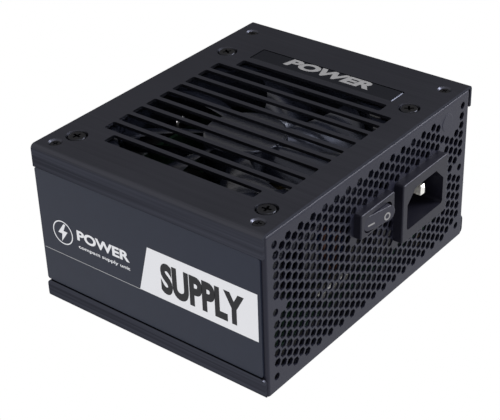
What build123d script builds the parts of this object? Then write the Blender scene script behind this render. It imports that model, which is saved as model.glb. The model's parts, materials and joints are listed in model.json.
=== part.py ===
from build123d import *
import math
import os

# A small-form-factor computer power supply. All sizes are in millimetres.
# X is the width, Y the depth and Z the height. The origin is the centre of the bottom face.
# The mains inlet and its honeycomb panel look towards -Y, the output sockets towards +Y,
# and the fan hangs under the slotted lid.

# ---- the case -------------------------------------------------------------------------------
case_width = 125.0
case_depth = 100.0
case_height = 63.5
half_width = case_width / 2
half_depth = case_depth / 2

lid_thickness = 1.2
lid_bend_radius = 1.8
lid_flange_drop = 8.6
lid_underside = case_height - lid_thickness
lid_flange_bottom = case_height - lid_flange_drop

tray_thickness = 1.2
tray_bend_radius = 1.8
tray_flange_height = 7.75
tray_flange_corner = 2.0
tray_setback = 0.5

steel = 0.8
wall_x = half_width - lid_thickness
panel_bend_radius = 1.2
panel_foot_radius = 0.5
panel_return = 7.0
lip_depth = 3.2
corner_lip_depth = 9.0
corner_lips_start = (-53.8, 50.4)
wall_lip_width = 9.0
front_inside = -half_depth + steel

label_thickness = 0.8
label_bottom = 8.1
label_top = 54.5
label_front = -48.5
label_back = 49.9

# ---- the lid's slots, nameplate and screws --------------------------------------------------
fan_x = -7.4
slot_y = -1.4
slot_count = 11
slot_pitch = 7.215
slot_width = 5.25
slot_length = 78.1
end_slot_length = 64.8
slot_corner = 0.8

nameplate_x = 38.85
nameplate_y = -1.4
nameplate_width = 9.2
nameplate_length = 64.2
nameplate_corner = 0.8
nameplate_recess = 0.7
nameplate_gap = 0.15

lid_screw_columns = (-56.4, 53.2)
lid_screw_y = 44.0
lid_screw_radius = 1.45
lid_screw_head = 1.9
lid_screw_sunk = 0.5
lid_screw_length = 3.6
countersink_radius = 2.6
countersink_depth = 1.0

# ---- the fan --------------------------------------------------------------------------------
fan_size = 92.0
fan_thickness = 15.0
fan_hole_spacing = 82.5
fan_top = 61.4
fan_bottom = fan_top - fan_thickness
fan_flange = 2.8
duct_radius = 44.6
blade_tip_radius = 43.4
blade_count = 7
hub_radius = 15.0
hub_wall = 1.1
hub_bottom = fan_bottom + 3.0
hub_top = fan_top - 1.8
motor_cup_radius = 15.5
motor_cup_thickness = 1.2
strut_height = 2.0
shaft_radius = 1.5
shaft_clearance = 0.04
bearing_radius = 2.6
fan_screw_radius = 2.0
fan_screw_length = 9.0
dimple_depth = 1.3
dimple_radius = 4.0

# ---- the honeycomb and the mounting holes ---------------------------------------------------
cell_pitch = 3.81
cell_column_step = 3.30
cell_across_flats = 2.95
cell_columns_each_side = 17
cell_rows = 14
honeycomb_x = 0.15
honeycomb_z = case_height / 2 - 0.3
mount_hole_x = 56.5
mount_hole_offsets = (-25.75, 0.0, 25.75)
mount_hole_radius = 1.4
mount_hole_margin = 4.0
earth_boss_x = 46.0
earth_boss_z = 55.0
earth_boss_radius = 3.2
earth_boss_height = 0.15
plain_patch_x = 48.0
plain_patch_z = 55.3
plain_patch_radius = 7.0

# ---- the mains inlet ------------------------------------------------------------------------
inlet_x = 26.6
inlet_bezel_z = 34.2
inlet_z = 34.5
inlet_bezel_width = 29.5
inlet_bezel_height = 23.8
inlet_proud = 3.8
inlet_cavity_width = 23.8
inlet_cavity_height = 15.5
inlet_cavity_chamfer = 5.0
inlet_cavity_depth = 17.5
inlet_wall = 1.1
inlet_back = 2.4
pin_width = 2.0
pin_height = 4.0
pin_side_offset = 7.0
pin_rise = 2.9
pin_drop = -1.6
pin_recess = 4.6
earth_pin_recess = 0.7
pin_taper = 0.8
tab_length = 6.5

# ---- the rocker switch ----------------------------------------------------------------------
switch_x = -2.65
switch_z = 41.0
switch_bezel_z = 41.5
switch_bezel_width = 20.5
switch_bezel_height = 9.6
switch_proud = 3.0
switch_body_width = 19.4
switch_body_height = 7.9
switch_recess_width = 17.2
switch_recess_height = 6.5
switch_body_depth = 13.0
rocker_half_length = 7.7
rocker_half_height = 2.95
rocker_tilt = 11.0
rocker_proud = 0.9
pivot_depth = 2.0
trunnion_radius = 0.9
trunnion_clearance = 0.05
trunnion_reach = 0.9
plunger_tip = 7.5
plunger_radius = 0.9
contact_depth = 8.2
contact_tilt = 8.0
contact_half_length = 6.0

# ---- the boards and what stands on them -----------------------------------------------------
board_bottom = 6.2
board_thickness = 1.6
board_top = board_bottom + board_thickness
board_half_width = 57.0
board_front = -42.0
board_back = 37.0
standoff_x = 47.0
standoff_front = -37.5
standoff_back = 31.0
socket_board_thickness = 1.6
socket_board_back = board_back + socket_board_thickness

# ---- the output sockets ---------------------------------------------------------------------
contact_pitch = 4.2
socket_wall = 0.7
socket_face = half_depth - 0.1
socket_cell = 3.5
socket_cell_depth = 9.5
socket_upper_z = 34.5
socket_lower_z = 15.0
wide_socket_columns = 12
wide_socket_x = -27.5
eight_pin_places = [(13.5, socket_upper_z), (36.5, socket_upper_z),
                    (-44.0, socket_lower_z), (-21.0, socket_lower_z)]
six_pin_places = [(2.0, socket_lower_z), (21.0, socket_lower_z), (40.0, socket_lower_z)]


# ---- shapes used again and again ------------------------------------------------------------
def block(x, y, z):
    """A box that fills three (low, high) ranges."""
    lengths = [high - low for low, high in (x, y, z)]
    middle = [(low + high) / 2 for low, high in (x, y, z)]
    return Pos(*middle) * Box(*lengths)


def about(middle, length):
    """The (low, high) range of a length about its middle."""
    return (middle - length / 2, middle + length / 2)


def rod(radius, start, end):
    """A round bar between two points."""
    along = Vector(*end) - Vector(*start)
    return extrude(Plane(origin=start, z_dir=along) * Circle(radius), along.length)


def ring(outer, inner, start, end):
    """A tube between two points."""
    along = Vector(*end) - Vector(*start)
    return extrude(Plane(origin=start, z_dir=along) * (Circle(outer) - Circle(inner)), along.length)


def front_plane(y):
    """A plane that looks towards -Y, with X to the right and Z up."""
    return Plane(origin=(0, y, 0), x_dir=(1, 0, 0), z_dir=(0, -1, 0))


def mirror_x(piece):
    return mirror(piece, Plane.YZ)


def corners(x, y):
    return [(-x, -y), (x, -y), (x, y), (-x, y)]


def cross_recess(width, length, depth):
    """The cross-shaped pocket in a screw head, with its mouth at z = 0."""
    bar = block(about(0, width), about(0, length), (-depth, 0.5))
    well = Pos(0, 0, -depth / 2 + 0.25) * Cone(width * 0.5, width, depth + 0.5)
    return bar + Rot(0, 0, 90) * bar + well


def flat_screw(radius, head_radius, length):
    """A countersunk screw whose flat head ends at z = 0 and whose shank points down."""
    head_height = head_radius - radius
    head = Pos(0, 0, -head_height / 2) * Cone(radius, head_radius, head_height)
    shank = rod(radius, (0, 0, -length), (0, 0, -head_height))
    return head + shank - cross_recess(head_radius * 0.3, head_radius * 1.15, head_height * 0.7)


def pan_screw(radius, head_radius, head_height, length):
    """A pan-head screw whose head stands on z = 0 and whose shank points down."""
    head = Pos(0, 0, head_height / 2) * Cylinder(head_radius, head_height)
    head = fillet(head.edges().group_by(Axis.Z)[-1], head_height * 0.6)
    shank = rod(radius, (0, 0, -length), (0, 0, 0.1))
    cross = cross_recess(head_radius * 0.25, head_radius * 1.05, head_height * 0.75)
    return head + shank - Pos(0, 0, head_height) * cross


def wire(radius, points, bends):
    """A round wire along straight runs that are joined by arcs."""
    path = FilletPolyline(*points, radius=bends)
    profile = Plane(origin=path @ 0, z_dir=path % 0) * Circle(radius)
    return sweep(profile, path=path)


def save(name, *pieces):
    """Write one node; several solids stay separate in it."""
    solids = [solid for piece in pieces for solid in piece.solids()]
    shape = solids[0] if len(solids) == 1 else Compound(children=solids)
    export_step(shape, f"parts/{name}.step")


# ---- the lid --------------------------------------------------------------------------------
def slot_cutters():
    """The lid's row of long slots over the fan; the first and the last are shorter."""
    last = slot_count // 2
    cutters = []
    for step in range(-last, last + 1):
        length = end_slot_length if abs(step) == last else slot_length
        outline = RectangleRounded(slot_width, length, slot_corner)
        outline = Pos(fan_x + step * slot_pitch, slot_y) * outline
        cutters.append(extrude(Pos(0, 0, lid_underside - 1) * outline, lid_thickness + 2))
    return cutters


def fan_screw_places():
    return [(fan_x + x, y) for x, y in corners(fan_hole_spacing / 2, fan_hole_spacing / 2)]


def lid_screw_places():
    return [(x, y) for y in (-lid_screw_y, lid_screw_y) for x in lid_screw_columns]


def nameplate_outline(grow):
    """The nameplate's outline, grown on every side."""
    width = nameplate_width + 2 * grow
    length = nameplate_length + 2 * grow
    return Pos(nameplate_x, nameplate_y) * RectangleRounded(width, length, nameplate_corner)


def top_cover():
    outside = block((-half_width, half_width), (-half_depth, half_depth), (lid_flange_bottom, case_height))
    outside = fillet(outside.edges().filter_by(Axis.Y).group_by(Axis.Z)[-1], lid_bend_radius)
    inside = block((-wall_x, wall_x), (-case_depth, case_depth), (lid_flange_bottom - 1, lid_underside))
    inner_bend = lid_bend_radius - lid_thickness
    inside = fillet(inside.edges().filter_by(Axis.Y).group_by(Axis.Z)[-1], inner_bend)
    cover = outside - inside
    for x, y in fan_screw_places():
        dish = lid_underside - fan_top
        cover += Pos(x, y, fan_top + dish / 2) * Cone(dimple_radius + 0.3, dimple_radius + 0.9, dish)
    for x, y in fan_screw_places():
        middle = case_height - dimple_depth / 2
        cover -= Pos(x, y, middle) * Cone(dimple_radius - 0.5, dimple_radius, dimple_depth)
        cover -= rod(fan_screw_radius + 0.1, (x, y, fan_top - 1), (x, y, case_height))
    for x, y in lid_screw_places():
        cover -= rod(lid_screw_radius + 0.1, (x, y, lid_underside - 1), (x, y, case_height))
        middle = case_height - countersink_depth / 2
        cover -= Pos(x, y, middle) * Cone(lid_screw_radius + 0.1, countersink_radius, countersink_depth)
    cover -= slot_cutters()
    cover -= extrude(Pos(0, 0, case_height - nameplate_recess) * nameplate_outline(0), 2)
    return cover


def nameplate():
    bottom = case_height - nameplate_recess
    plate = extrude(Pos(0, 0, bottom) * nameplate_outline(-nameplate_gap), nameplate_recess - 0.05)
    return chamfer(plate.edges().group_by(Axis.Z)[-1], 0.4)


def lid_screws():
    """Small countersunk screws, sunk below the lid's face."""
    screw = flat_screw(lid_screw_radius, lid_screw_head, lid_screw_length)
    return [Pos(x, y, case_height - lid_screw_sunk) * Rot(0, 0, 25 + 31 * turn) * screw
            for turn, (x, y) in enumerate(lid_screw_places())]


def fan_screws():
    screw = pan_screw(fan_screw_radius, 3.25, 1.25, fan_screw_length)
    floor = case_height - dimple_depth
    return [Pos(x, y, floor) * Rot(0, 0, 12 + 23 * turn) * screw
            for turn, (x, y) in enumerate(fan_screw_places())]


# ---- the mains panel ------------------------------------------------------------------------
def cell_is_open(x, z):
    """Whether the honeycomb has a hole here, clear of the mounts, the plain patch and the cut-outs."""
    for hole_x, hole_z in mount_places():
        if math.hypot(x - hole_x, z - hole_z) < mount_hole_margin:
            return False
    if math.hypot(x - plain_patch_x, z - plain_patch_z) < plain_patch_radius:
        return False
    switch_low = switch_bezel_z - switch_bezel_height / 2
    inlet_low = inlet_bezel_z - inlet_bezel_height / 2
    at_switch = abs(x - switch_x - 0.6) < switch_bezel_width / 2 + 2.0
    at_inlet = abs(x - inlet_x) < inlet_bezel_width / 2 + 1.8
    if at_switch and switch_low - 1.8 < z < switch_low + switch_bezel_height + 0.5:
        return False
    return not (at_inlet and inlet_low - 1.8 < z < inlet_low + inlet_bezel_height + 0.5)


def mount_places():
    middle = case_height / 2
    return [(side * mount_hole_x, middle + offset) for side in (-1, 1) for offset in mount_hole_offsets]


def honeycomb_cells():
    """Centres of the honeycomb's holes; every second column is half a pitch lower."""
    cells = []
    for column in range(-cell_columns_each_side, cell_columns_each_side + 1):
        x = honeycomb_x + column * cell_column_step
        stagger = cell_pitch / 4 if column % 2 else -cell_pitch / 4
        for row in range(cell_rows):
            z = honeycomb_z + stagger + (row - (cell_rows - 1) / 2) * cell_pitch
            if cell_is_open(x, z):
                cells.append((x, z))
    return cells


def end_panel():
    """A bent steel end panel at -Y: the plate, its two side returns and its top lip."""
    outside = block((-wall_x, wall_x), (-half_depth, -half_depth + corner_lip_depth), (0, lid_underside))
    upright = outside.edges().filter_by(Axis.Z).group_by(Axis.Y)[0]
    top = outside.edges().filter_by(Axis.X).group_by(Axis.Y)[0].sort_by(Axis.Z)[-1:]
    shoulders = outside.edges().filter_by(Axis.Y).group_by(Axis.Z)[-1]
    outside = fillet(upright + top + shoulders, panel_bend_radius)
    foot = outside.edges().filter_by(Axis.X).group_by(Axis.Z)[0].sort_by(Axis.Y)[:1]
    outside = fillet(foot, panel_foot_radius)
    inside = block((-wall_x + steel, wall_x - steel), (front_inside, 0), (-1, lid_underside - steel))
    panel = outside - inside
    returns_end = -half_depth + panel_return
    panel -= block((-wall_x - 1, wall_x + 1), (returns_end, 0), (-1, lid_underside - steel - 0.01))
    panel -= block((-wall_x - 1, wall_x + 1), (front_inside, 0), (-1, tray_thickness))
    above_lip = (lid_underside - 2, lid_underside + 1)
    panel -= block(corner_lips_start, (-half_depth + lip_depth, 0), above_lip)
    for x in lid_screw_columns:
        panel -= rod(lid_screw_radius + 0.03, (x, -lid_screw_y, lid_underside - 2),
                     (x, -lid_screw_y, lid_underside + 1))
    for side in (-1, 1):
        beside_wall = sorted((side * (wall_x - steel - 0.05), side * (wall_x + 1)))
        panel -= block(beside_wall, (returns_end, 0), (0, case_height))
        for z in rivet_heights():
            panel -= rod(1.2, (side * (wall_x - 2), rivet_y(), z), (side * (wall_x + 1), rivet_y(), z))
    return panel


def rivet_heights():
    return (16.0, 46.0)


def rivet_y():
    return -half_depth + panel_return - 3.0


def ac_panel():
    panel = end_panel()
    cell = RegularPolygon(cell_across_flats / 2, 6, major_radius=False, rotation=0)
    if cell.bounding_box().size.X < cell.bounding_box().size.Y:
        cell = Rot(0, 0, 30) * cell
    cutters = [Pos(x, z) * cell for x, z in honeycomb_cells()]
    cutters += [Pos(x, z) * Circle(mount_hole_radius) for x, z in mount_places()]
    cutters.append(Pos(inlet_x, inlet_z) * Rectangle(inlet_body_width() + 0.2, inlet_body_height() + 0.2))
    cutters.append(Pos(switch_x, switch_z) * Rectangle(switch_body_width + 0.2, switch_body_height + 0.2))
    plane = front_plane(front_inside + 0.1)
    panel -= [extrude(plane * cutter, steel + 0.2) for cutter in cutters]
    boss = Cone(earth_boss_radius + 0.3, earth_boss_radius, earth_boss_height)
    return panel + front_plane(-half_depth - earth_boss_height / 2) * Pos(earth_boss_x, earth_boss_z) * boss


# ---- walls, tray and labels -----------------------------------------------------------------
def right_side_wall():
    wall_end = half_depth - panel_return
    wall = block((wall_x - steel, wall_x), (-wall_end, wall_end), (tray_thickness, lid_underside))
    wall += block((wall_x - 4, wall_x), (-wall_end + 3, wall_end - 3), (lid_underside - steel, lid_underside))
    wall = fillet(wall.edges().filter_by(Axis.Y).group_by(Axis.Z)[-1].sort_by(Axis.X)[-1:], steel)
    wall += block((wall_x - wall_lip_width, wall_x), (-wall_end, wall_end),
                  (tray_thickness, tray_thickness + steel))
    for side in (-1, 1):
        tab = block((wall_x - 2 * steel, wall_x - steel), (-half_depth + 1.5, -wall_end + 6), (8, 54))
        wall += tab if side < 0 else mirror(tab, Plane.XZ)
        for z in rivet_heights():
            y = rivet_y() * -side
            wall -= rod(1.2, (wall_x - 3, y, z), (wall_x + 1, y, z))
    for x, y in tray_screw_places():
        wall -= rod(lid_screw_radius + 0.03, (x, y, 0), (x, y, 4))
    return wall


def chassis_rivets():
    """Flush blind rivets that hold the end panels to the side walls."""
    rivets = []
    for x_side in (-1, 1):
        for y_side in (-1, 1):
            for z in rivet_heights():
                y = rivet_y() * y_side
                outer = x_side * (wall_x - 0.02)
                inner = x_side * (wall_x - 2 * steel)
                body = rod(1.15, (outer, y, z), (inner, y, z))
                head = rod(2.0, (inner, y, z), (inner - x_side * 0.7, y, z))
                rivets.append(body + head)
    return rivets


def socket_panel():
    panel = mirror(end_panel(), Plane.XZ)
    places = [(wide_socket_x, socket_upper_z, wide_socket_columns)]
    places += [(x, z, 4) for x, z in eight_pin_places]
    places += [(x, z, 3) for x, z in six_pin_places]
    for x, z, columns in places:
        width, height = socket_size(columns)
        panel -= block(about(x, width + 0.2), (half_depth - 3, half_depth + 1), about(z, height + 0.2))
        panel -= block(about(x, latch_width() + 0.4), (half_depth - 3, half_depth + 1),
                       (z, z + height / 2 + latch_height() + 0.2))
    return panel


def tray_screw_places():
    return corners(55.0, 34.0)


def bottom_tray():
    ends = (-half_depth + tray_setback, half_depth)
    outside = block((-half_width, half_width), ends, (0, tray_flange_height))
    outside = fillet(outside.edges().filter_by(Axis.X).group_by(Axis.Z)[-1], tray_flange_corner)
    outside = fillet(outside.edges().filter_by(Axis.Y).group_by(Axis.Z)[0], tray_bend_radius)
    inside = block((-wall_x, wall_x), (-case_depth, case_depth), (tray_thickness, case_height))
    tray = outside - inside
    for side in (-1, 1):
        beyond = sorted((side * (half_depth - steel), side * (half_depth + 1)))
        tray -= block((-wall_x - 0.01, wall_x + 0.01), beyond, (-1, tray_flange_height + 1))
    for x, y in tray_screw_places():
        tray -= rod(lid_screw_radius + 0.1, (x, y, -1), (x, y, 3))
        tray -= Pos(x, y, 0.5) * Cone(lid_screw_radius + 1.1, lid_screw_radius + 0.1, 1.0)
    for x, y in standoff_places():
        tray -= rod(1.6, (x, y, -1), (x, y, 3))
    return tray


def tray_screws():
    screw = Rot(180, 0, 0) * flat_screw(lid_screw_radius, lid_screw_radius + 1.0, lid_screw_length)
    return [Pos(x, y, 0.02) * screw for x, y in tray_screw_places()]


def right_label_plate():
    plate = block((wall_x, wall_x + label_thickness), (label_front, label_back), (label_bottom, label_top))
    return fillet(plate.edges().filter_by(Axis.X), 0.8)


# ---- the fan --------------------------------------------------------------------------------
def fan_frame():
    frame = block(about(0, fan_size), about(0, fan_size), (fan_bottom, fan_top))
    frame = fillet(frame.edges().filter_by(Axis.Z), 4.5)
    beyond = about(0, fan_size + 2)
    groove = block(beyond, beyond, (fan_bottom + fan_flange, fan_top - fan_flange))
    groove -= rod(fan_size / 2, (0, 0, 0), (0, 0, case_height))
    for x, y in corners(fan_hole_spacing / 2, fan_hole_spacing / 2):
        groove -= rod(fan_screw_radius + 1.7, (x, y, 0), (x, y, case_height))
    frame -= groove
    frame -= rod(duct_radius, (0, 0, 0), (0, 0, case_height))
    for x, y in corners(fan_hole_spacing / 2, fan_hole_spacing / 2):
        frame -= rod(fan_screw_radius + 0.08, (x, y, 0), (x, y, case_height))
    frame += rod(motor_cup_radius, (0, 0, fan_bottom), (0, 0, fan_bottom + motor_cup_thickness))
    for angle in (20, 110, 200, 290):
        strut = block((motor_cup_radius - 1, duct_radius + 0.7), about(0, 3.0),
                      (fan_bottom, fan_bottom + strut_height))
        frame += Rot(0, 0, angle) * strut
    tube_top = hub_top - hub_wall - 1.6
    frame += rod(bearing_radius + 0.9, (0, 0, fan_bottom + 0.2), (0, 0, tube_top))
    frame -= rod(bearing_radius, (0, 0, fan_bottom + motor_cup_thickness), (0, 0, case_height))
    return Pos(fan_x, 0, 0) * frame


def blade_section(radius, chord, pitch, camber, thickness, skew):
    """One curved section of a fan blade, on a plane that faces straight out from the shaft."""
    middle = (hub_bottom + hub_top) / 2 + 0.1
    spot = Plane(origin=(radius * math.cos(skew), radius * math.sin(skew), middle),
                 x_dir=(-math.sin(skew), math.cos(skew), 0),
                 z_dir=(math.cos(skew), math.sin(skew), 0))
    upper = ThreePointArc((-chord / 2, 0), (0, camber + thickness / 2), (chord / 2, 0))
    lower = ThreePointArc((chord / 2, 0), (0, camber - thickness / 2), (-chord / 2, 0))
    return spot * Rot(0, 0, pitch) * make_face([upper, lower])


def fan_blade():
    """A twisted, swept blade, trimmed at its tip to run inside the duct."""
    sections = [
        blade_section(hub_radius - hub_wall + 0.05, 10.4, 42, 0.9, 1.7, math.radians(0)),
        blade_section(28.0, 17.0, 28, 1.4, 1.5, math.radians(7)),
        blade_section(44.2, 25.0, 19, 1.6, 1.2, math.radians(16)),
    ]
    return loft(sections) & rod(blade_tip_radius, (0, 0, 0), (0, 0, case_height))


def fan_rotor():
    hub = rod(hub_radius, (0, 0, hub_bottom), (0, 0, hub_top))
    hub = fillet(hub.edges().group_by(Axis.Z)[-1], 1.0)
    hub -= rod(hub_radius - hub_wall, (0, 0, hub_bottom - 1), (0, 0, hub_top - hub_wall))
    hub += rod(3.0, (0, 0, hub_top - hub_wall - 1.0), (0, 0, hub_top - hub_wall + 0.2))
    hub -= rod(shaft_radius, (0, 0, 0), (0, 0, hub_top - 0.5))
    blade = fan_blade()
    blades = [Rot(0, 0, 360 / blade_count * turn) * blade for turn in range(blade_count)]
    return Pos(fan_x, 0, 0) * (hub + blades)


def fan_shaft():
    bottom = fan_bottom + motor_cup_thickness + 0.2
    return rod(shaft_radius, (fan_x, 0, bottom), (fan_x, 0, hub_top - 0.5))


def fan_bearing():
    bottom = fan_bottom + motor_cup_thickness + 0.05
    top = hub_top - hub_wall - 1.6
    return ring(bearing_radius, shaft_radius + shaft_clearance, (fan_x, 0, bottom), (fan_x, 0, top))


def fan_magnet():
    outer = hub_radius - hub_wall
    return ring(outer, outer - 1.2, (fan_x, 0, hub_bottom + 0.6), (fan_x, 0, hub_top - hub_wall - 0.4))


def stator_core():
    """Laminated iron cross with four pole shoes."""
    low = fan_bottom + 4.4
    core = ring(5.0, bearing_radius + 0.95, (0, 0, low), (0, 0, low + 4))
    for angle in range(0, 360, 90):
        core += Rot(0, 0, angle) * block((4.5, 11.0), about(0, 2.6), (low, low + 4))
        shoe = ring(12.2, 10.8, (0, 0, low), (0, 0, low + 4)) & block((8, 13), about(0, 13), (low, low + 4))
        core += Rot(0, 0, angle) * shoe
    return Pos(fan_x, 0, 0) * core


def stator_coils():
    low = fan_bottom + 3.6
    coils = []
    for angle in range(0, 360, 90):
        coil = block((6.4, 10.4), about(0, 5.0), (low, low + 5.6))
        coil -= block((6, 11), about(0, 2.62), (low + 0.79, low + 4.81))
        coils.append(Pos(fan_x, 0, 0) * Rot(0, 0, angle) * coil)
    return coils


def fan_board():
    low = fan_bottom + motor_cup_thickness
    return ring(13.0, bearing_radius + 0.95, (fan_x, 0, low), (fan_x, 0, low + 0.9))


def fan_lead():
    """Two wires from the motor cup, over the coils, down to the main board."""
    wires = []
    for step in (0, 1):
        shift = 2.0 * step
        points = [(fan_x + 12, -3 - shift, fan_bottom), (fan_x + 12, -3 - shift, fan_bottom - 3.6),
                  (22, -8.6 - shift, fan_bottom - 5.5), (38.8, -10.5 - shift, fan_bottom - 9),
                  (41.5, -11 - shift, 25), (41, -10 - shift, board_top + 6), (41, -10 - shift, board_top)]
        wires.append(wire(0.7, points, (2.4, 8, 6, 12, 12)))
    return wires


# ---- the mains inlet ------------------------------------------------------------------------
def inlet_body_width():
    return inlet_cavity_width + 2 * inlet_wall


def inlet_body_height():
    return inlet_cavity_height + 2 * inlet_wall


def inlet_front():
    return -half_depth - inlet_proud


def inlet_rear():
    return inlet_front() + inlet_cavity_depth + inlet_back


def cavity_outline():
    """The earthed inlet's mouth: a rectangle with its two upper corners cut off."""
    outline = Rectangle(inlet_cavity_width, inlet_cavity_height)
    outline = chamfer(outline.vertices().group_by(Axis.Y)[-1], inlet_cavity_chamfer)
    outline = fillet(outline.vertices().group_by(Axis.Y)[0], 1.2)
    return Pos(inlet_x, inlet_z) * outline


def pin_places():
    """Earth first, then the two power pins, as (x, z)."""
    return [(inlet_x, inlet_z + pin_rise),
            (inlet_x - pin_side_offset, inlet_z + pin_drop),
            (inlet_x + pin_side_offset, inlet_z + pin_drop)]


def inlet_housing():
    bezel = block(about(inlet_x, inlet_bezel_width), (inlet_front(), -half_depth),
                  about(inlet_bezel_z, inlet_bezel_height))
    bezel = fillet(bezel.edges().filter_by(Axis.Y), 1.0)
    bezel = fillet(bezel.faces().sort_by(Axis.Y)[0].edges(), 0.5)
    body = block(about(inlet_x, inlet_body_width()), (-half_depth - 1, inlet_rear()),
                 about(inlet_z, inlet_body_height()))
    housing = bezel + body
    housing -= extrude(front_plane(inlet_rear() - inlet_back) * cavity_outline(), inlet_cavity_depth + 1)
    for side in (-1, 1):
        clip_x = sorted((inlet_x + side * (inlet_body_width() / 2 - 0.1),
                         inlet_x + side * (inlet_body_width() / 2 + 0.9)))
        housing += block(clip_x, (front_inside + 0.05, front_inside + 5), about(inlet_z, 6))
    for x, z in pin_places():
        housing -= block(about(x, pin_width), (-half_depth, 0), about(z, pin_height))
    return housing


def inlet_pin(x, z, recess):
    """A blade with a tapered tip in front, which starts behind the bezel's face, and a solder tab behind."""
    tip = inlet_front() + recess
    blade = block(about(x, pin_width), (tip, inlet_rear()), about(z, pin_height))
    blade = chamfer(blade.faces().sort_by(Axis.Y)[0].edges(), pin_taper)
    tab = block(about(x, 0.8), (inlet_rear() - 0.5, inlet_rear() + tab_length), about(z, pin_height))
    return blade + tab


def inlet_pins():
    """The earth pin stands further forward than the two power pins."""
    recesses = (earth_pin_recess, pin_recess, pin_recess)
    return [inlet_pin(x, z, recess) for (x, z), recess in zip(pin_places(), recesses)]


def drop_wire(x, y, top, lean):
    """A wire from under a tab down to the main board, with a slight bow."""
    points = [(x, y, top), (x, y, top - 5), (x + lean, y, (top + board_top) / 2),
              (x, y, board_top + 5), (x, y, board_top)]
    return wire(1.0, points, (9, 9, 9))


def inlet_wires():
    """The earth wire and the two power wires, from the inlet's tabs to the board."""
    y = inlet_rear() + tab_length - 1.6
    leans = (1.2, -1.4, 1.4)
    return [drop_wire(x, y, z - pin_height / 2, lean) for (x, z), lean in zip(pin_places(), leans)]


# ---- the rocker switch ----------------------------------------------------------------------
def switch_front():
    return -half_depth - switch_proud


def pivot_y():
    return switch_front() + pivot_depth


def switch_place(tilt):
    """Moves a piece that is drawn about the pivot to the switch, turned about the pivot."""
    return Pos(switch_x, pivot_y(), switch_z) * Rot(0, 0, tilt)


def switch_housing():
    bezel = block(about(switch_x, switch_bezel_width), (switch_front(), -half_depth),
                  about(switch_bezel_z, switch_bezel_height))
    bezel = fillet(bezel.edges().filter_by(Axis.Y), 0.8)
    bezel = fillet(bezel.faces().sort_by(Axis.Y)[0].edges(), 0.5)
    rear = -half_depth + switch_body_depth
    body = block(about(switch_x, switch_body_width), (-half_depth - 1, rear),
                 about(switch_z, switch_body_height))
    housing = bezel + body
    mouth = front_plane(rear - 1.2) * Pos(switch_x, switch_z)
    mouth *= SlotOverall(switch_recess_width, switch_recess_height)
    housing -= extrude(mouth, 40)
    well = block(about(switch_x, switch_recess_width - 1.2), (-half_depth, rear - 1.2),
                 about(switch_z, switch_recess_height - 0.6))
    housing -= well
    reach = rocker_half_height + trunnion_reach + 0.1
    housing -= rod(trunnion_radius + trunnion_clearance, (switch_x, pivot_y(), switch_z - reach),
                   (switch_x, pivot_y(), switch_z + reach))
    for x in terminal_places():
        housing -= block(about(x, 0.8), (rear - 3, rear + 1), about(switch_z, 4.0))
    return housing


def rocker_profile():
    """The rocker's outline seen from above, with its flat front towards -Y and the pivot at the origin."""
    front = -(pivot_depth + rocker_proud) * math.cos(math.radians(rocker_tilt))
    outline = Polyline((-rocker_half_length, front), (rocker_half_length, front),
                       (rocker_half_length, 0.4), (2.2, 1.8), (-2.2, 1.8), (-rocker_half_length, 0.4),
                       close=True)
    return make_face(outline)


def switch_rocker():
    height = 2 * rocker_half_height
    rocker = extrude(Pos(0, 0, -rocker_half_height) * rocker_profile(), height)
    oval = front_plane(10) * SlotOverall(2 * rocker_half_length, height)
    rocker &= extrude(oval, 30)
    rocker = fillet(rocker.faces().sort_by(Axis.Y)[0].edges(), 0.35)
    rocker += rod(1.7, (0, 1.5, 0), (0, 4.6, 0))
    reach = rocker_half_height + trunnion_reach
    rocker += rod(trunnion_radius, (0, 0, -reach), (0, 0, reach))
    rocker -= rod(plunger_radius + 0.06, (0, 1.0, 0), (0, 6, 0))
    return switch_place(-rocker_tilt) * rocker


def switch_plunger():
    """The small piston in the rocker's stem, which a spring pushes against the contact lever."""
    piston = rod(plunger_radius, (0, 3.4, 0), (0, plunger_tip, 0))
    piston = fillet(piston.edges().group_by(Axis.Y)[-1], 0.6)
    return switch_place(-rocker_tilt) * piston


def switch_spring():
    coil = Helix(pitch=0.55, height=2.2, radius=0.6)
    profile = Plane(origin=coil @ 0, z_dir=coil % 0) * Circle(0.13)
    spring = sweep(profile, path=coil, is_frenet=True)
    return switch_place(-rocker_tilt) * Pos(0, 1.13, 0) * Rot(-90, 0, 0) * spring


def switch_contact():
    """The see-saw contact lever; its rest tilt matches the pressed end of the rocker."""
    lever = block(about(0, 2 * contact_half_length), about(0, 0.6), about(0, 4.4))
    for side in (-1, 1):
        lever += rod(1.2, (side * 4.6, 0.2, 0), (side * 4.6, 0.7, 0))
    return Pos(switch_x, pivot_y() + contact_depth, switch_z) * Rot(0, 0, contact_tilt) * lever


def terminal_places():
    return (switch_x, switch_x + 5.2)


def switch_terminals():
    """The lever's support in the middle and the fixed contact at its +X end, both with solder tabs."""
    rear = -half_depth + switch_body_depth
    lever_y = pivot_y() + contact_depth
    front_faces = (lever_y + 0.6, lever_y + 2.0)
    return [block(about(x, 0.8), (face, rear + tab_length), about(switch_z, 4.0))
            for x, face in zip(terminal_places(), front_faces)]


def switch_wires():
    y = -half_depth + switch_body_depth + tab_length - 1.6
    return [drop_wire(x, y, switch_z - 2.0, lean) for x, lean in zip(terminal_places(), (-2.5, 1.0))]


# ---- the boards -----------------------------------------------------------------------------
def standoff_places():
    return [(x, y) for x in (-standoff_x, standoff_x) for y in (standoff_front, standoff_back)]


def main_board():
    board = block((-board_half_width, board_half_width), (board_front, board_back), (board_bottom, board_top))
    for x, y in standoff_places():
        board -= rod(1.7, (x, y, 0), (x, y, 20))
    return board


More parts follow.
